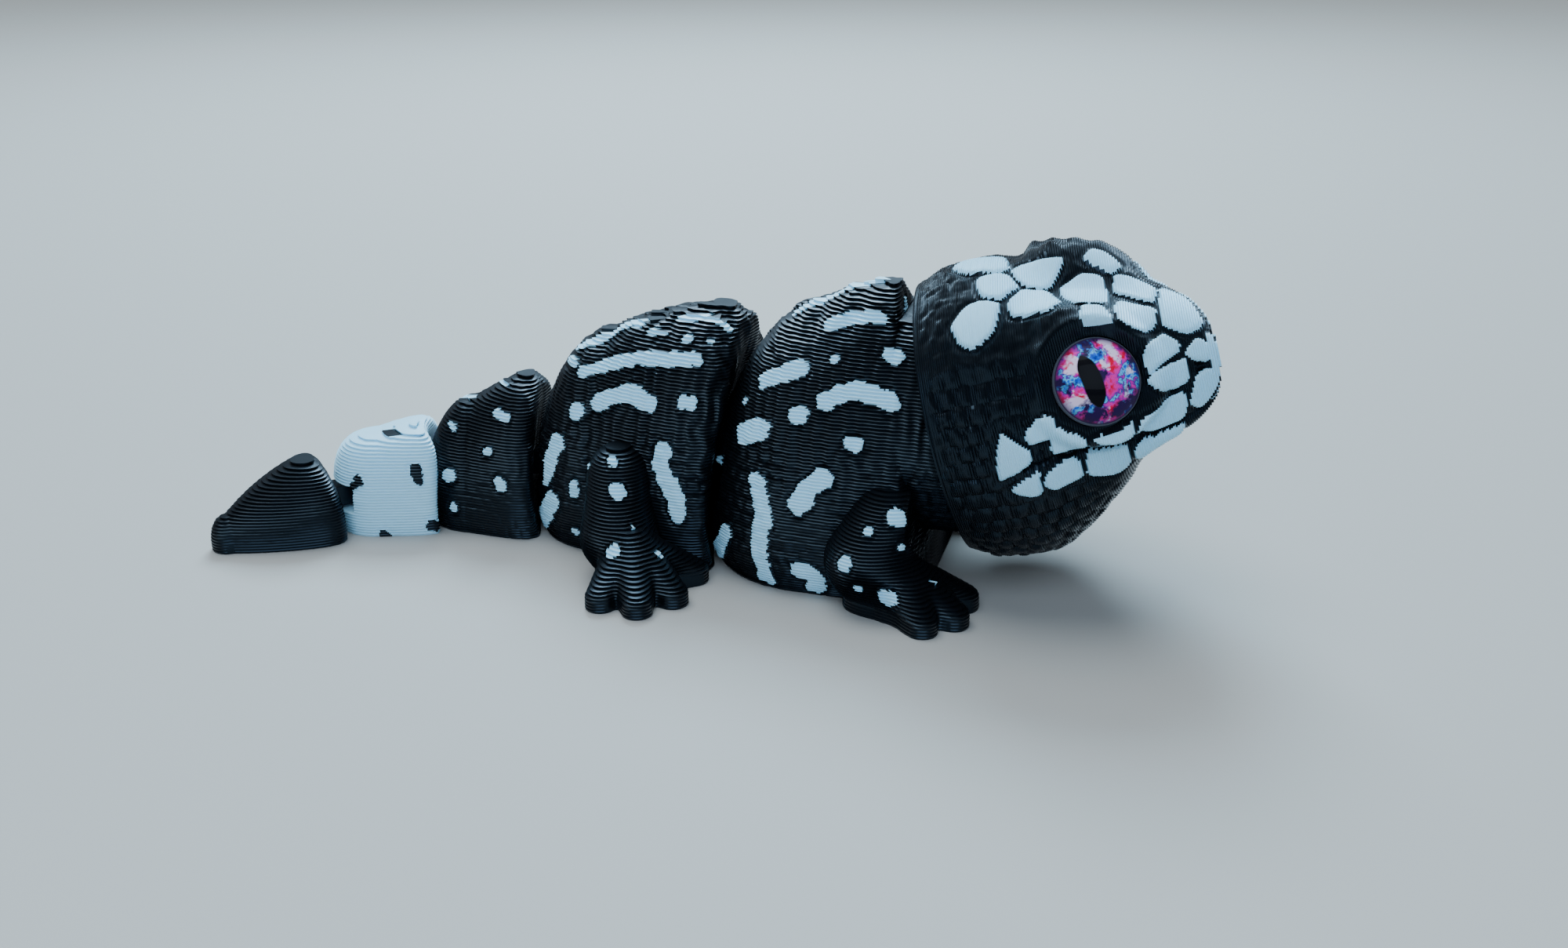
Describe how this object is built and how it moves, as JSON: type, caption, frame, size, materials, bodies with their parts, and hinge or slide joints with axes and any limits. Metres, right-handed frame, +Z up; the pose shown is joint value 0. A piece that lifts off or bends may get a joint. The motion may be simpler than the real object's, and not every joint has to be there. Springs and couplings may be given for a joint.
{
  "type": "jointed printed toy tegu",
  "caption": "Palm-size printed toy lizard in chained beads: turning head with glass eyes and pale plates, body beads with fused legs, and a bending black and white tail.",
  "frame": {"origin": "on the floor, under the hinge between the two body beads", "axes": "+X the way the front body heads, +Y the animal's left, +Z up"},
  "size_m": [0.0952, 0.0415, 0.032],
  "materials": {
    "black_plastic": "satin, with fine print lines",
    "white_plastic": "satin, with fine print lines",
    "printed_glass": "clear dome over a printed back"
  },
  "bodies": {
    "front_body": {"front_body": "black_plastic", "front_leg_right": "black_plastic", "front_leg_left": "black_plastic"},
    "neck": {"neck_ball": "black_plastic"},
    "head": {"head": "black_plastic", "eye_right": "printed_glass", "eye_left": "printed_glass"},
    "rear_body": {"rear_body": "black_plastic", "hind_leg_right": "black_plastic", "hind_leg_left": "black_plastic"},
    "tail_base": {"tail_base": "black_plastic"},
    "tail_middle": {"tail_middle": "white_plastic"},
    "tail_tip": {"tail_tip": "black_plastic"}
  },
  "joints": [
    {"name": "neck_turn", "type": "hinge", "parent": "front_body", "child": "neck", "pos_m": [0.013, 0, 0.0155], "axis": [0, 0, 1], "range_deg": [-12, 6]},
    {"name": "neck_nod", "type": "hinge", "parent": "neck", "child": "head", "pos_m": [0.013, 0, 0.0155], "axis": [0.0785, -0.9969, 0], "range_deg": [-12, 2]},
    {"name": "body_bend", "type": "hinge", "parent": "front_body", "child": "rear_body", "pos_m": [0, 0, 0.005], "axis": [0, 0, 1], "range_deg": [-26, 28]},
    {"name": "tail_base_bend", "type": "hinge", "parent": "rear_body", "child": "tail_base", "pos_m": [-0.02157, 0.00113, 0.005], "axis": [0, 0, 1], "range_deg": [-38, 22]},
    {"name": "tail_middle_bend", "type": "hinge", "parent": "tail_base", "child": "tail_middle", "pos_m": [-0.03639, -0.00043, 0.005], "axis": [0, 0, 1], "range_deg": [-50, 14]},
    {"name": "tail_tip_bend", "type": "hinge", "parent": "tail_middle", "child": "tail_tip", "pos_m": [-0.04569, -0.00486, 0.005], "axis": [0, 0, 1], "range_deg": [-50, 16]}
  ]
}
